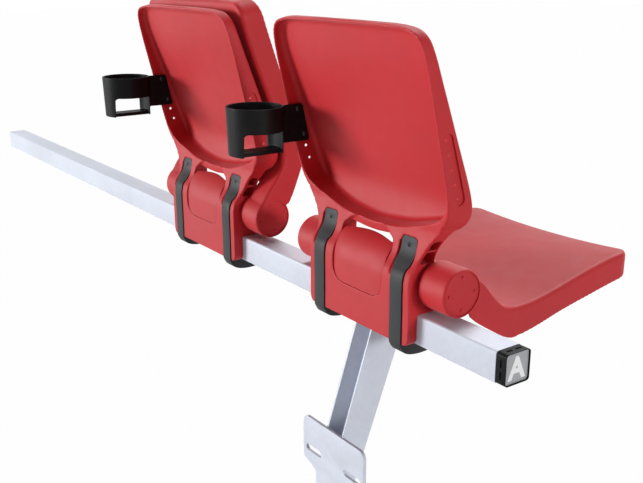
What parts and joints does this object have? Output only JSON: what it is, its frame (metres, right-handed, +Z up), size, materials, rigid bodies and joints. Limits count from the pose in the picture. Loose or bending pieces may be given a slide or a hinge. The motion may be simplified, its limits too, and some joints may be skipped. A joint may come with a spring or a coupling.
{
  "type": "beam seating",
  "caption": "Beam-mounted tip-up stadium seats with clamped back mouldings, hinged seat pans, cup holders, a numbered end cap and a riser bracket.",
  "frame": {"origin": "rear face of the riser plate, midway between its two slots", "axes": "+X along the beam towards a sitter's left, +Y to the rear into the riser, +Z up"},
  "size_m": [2.1975, 0.5805, 0.887],
  "materials": {
    "shell": "satin moulded red",
    "black": "satin moulded black",
    "bearing": "natural moulded",
    "steel": "hot-dip galvanised with a faint spangle",
    "strap": "dark grey powder coat",
    "screw": "black oxide",
    "sign": "satin grey with a white number"
  },
  "bodies": {
    "row": {"beam": "steel", "end_cap": "black", "sign_plate": "sign", "bracket_channel": "steel", "riser_plate": "steel", "near_backrest": "shell", "near_hinge_cover": "shell", "near_cup_holder": "black", "near_cup_screw_upper": "screw", "near_cup_screw_lower": "screw", "near_strap_left": "strap", "near_strap_right": "strap", "near_strap_screw_left": "screw", "near_strap_screw_right": "screw", "near_hinge_axle": "steel", "near_stop_collar_left": "steel", "near_stop_collar_right": "steel", "far_backrest": "shell", "far_hinge_cover": "shell", "far_cup_holder": "black", "far_cup_screw_upper": "screw", "far_cup_screw_lower": "screw", "far_strap_left": "strap", "far_strap_right": "strap", "far_strap_screw_left": "screw", "far_strap_screw_right": "screw", "far_hinge_axle": "steel", "far_stop_collar_left": "steel", "far_stop_collar_right": "steel"},
    "near_pan": {"near_seat_pan": "shell", "near_hub_cap_left": "shell", "near_hub_cap_right": "shell", "near_hub_bush_left": "bearing", "near_hub_bush_right": "bearing"},
    "far_pan": {"far_seat_pan": "shell", "far_hub_cap_left": "shell", "far_hub_cap_right": "shell", "far_hub_bush_left": "bearing", "far_hub_bush_right": "bearing"}
  },
  "joints": [
    {"name": "near_pan_hinge", "type": "hinge", "parent": "row", "child": "near_pan", "pos_m": [0, -0.1005, 0.347], "axis": [-1, 0, 0], "range_deg": [0, 100]},
    {"name": "far_pan_hinge", "type": "hinge", "parent": "row", "child": "far_pan", "pos_m": [0.5275, -0.1005, 0.347], "axis": [-1, 0, 0], "range_deg": [-100, 0]}
  ]
}
